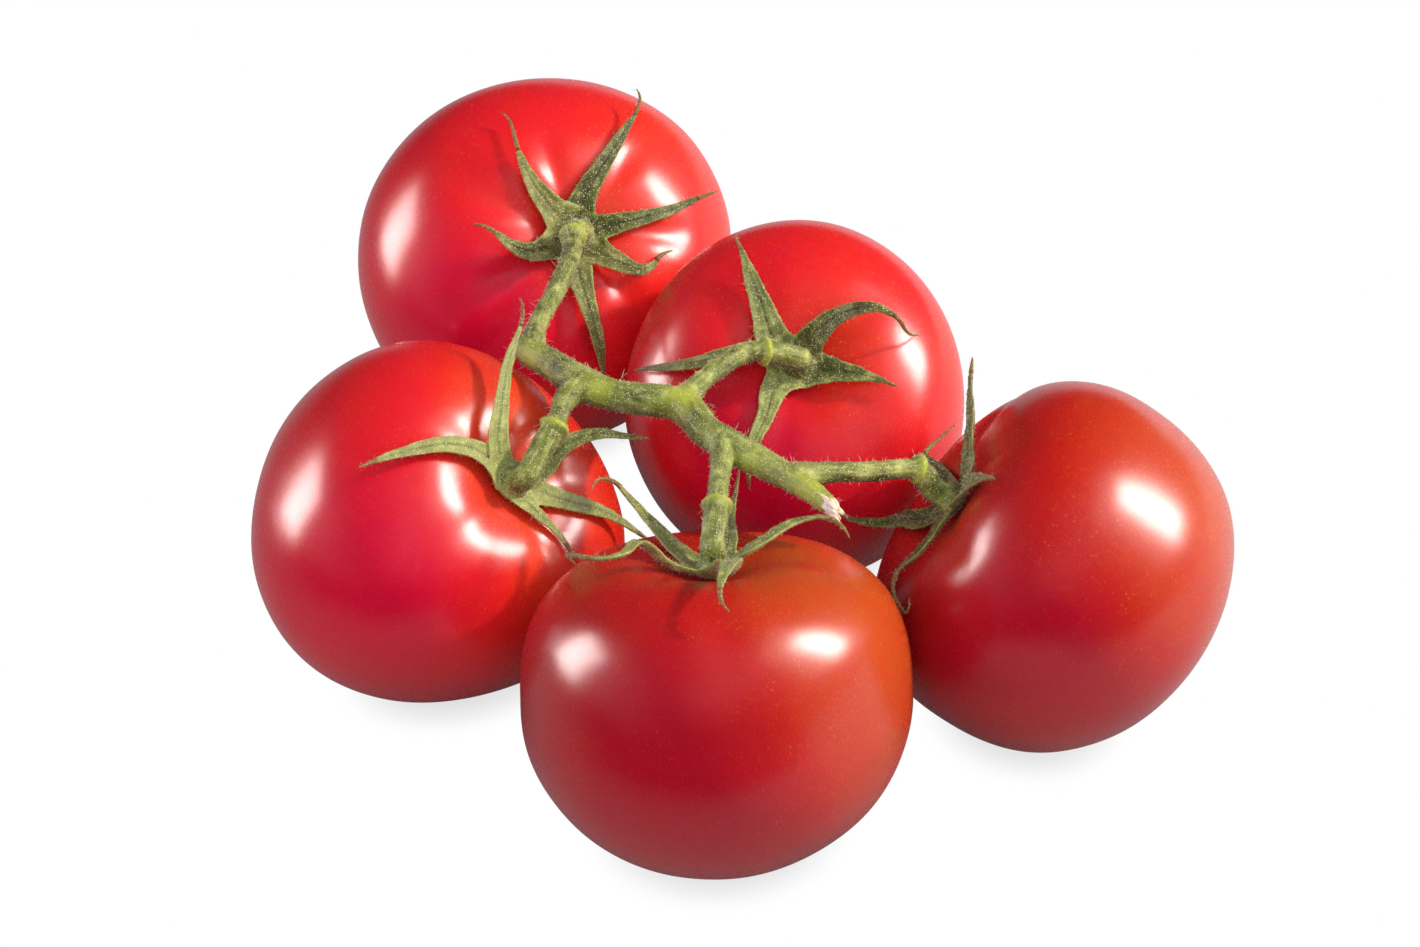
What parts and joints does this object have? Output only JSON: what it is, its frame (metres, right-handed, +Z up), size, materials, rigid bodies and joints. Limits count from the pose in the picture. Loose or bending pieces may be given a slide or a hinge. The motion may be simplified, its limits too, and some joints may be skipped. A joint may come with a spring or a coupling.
{
  "type": "truss of tomatoes",
  "caption": "Ripe red tomatoes held together on a branching green stem, each with a star of narrow sepals, lying on a flat surface.",
  "frame": {"origin": "middle of the bounding box, on the surface that the tomatoes lie on", "axes": "+Z up; seen from -Y as in the picture, +X is to the viewer's right and +Y points away from the viewer"},
  "size_m": [0.1694, 0.1901, 0.0692],
  "materials": {
    "tomato_skin": "smooth, waxy and glossy ripe red skin with fine pale specks",
    "calyx_green": "matt, finely hairy olive green leaf",
    "stem_green": "matt, finely hairy yellow-green stem",
    "torn_fibre": "dry, pale, torn plant fibre"
  },
  "bodies": {
    "root": {"tomato_back_left": "tomato_skin", "tomato_back_right": "tomato_skin", "tomato_left": "tomato_skin", "tomato_front": "tomato_skin", "tomato_right": "tomato_skin", "calyx_back_left": "calyx_green", "calyx_back_right": "calyx_green", "calyx_left": "calyx_green", "calyx_front": "calyx_green", "calyx_right": "calyx_green", "truss_stem": "stem_green", "torn_end": "torn_fibre"}
  },
  "joints": []
}
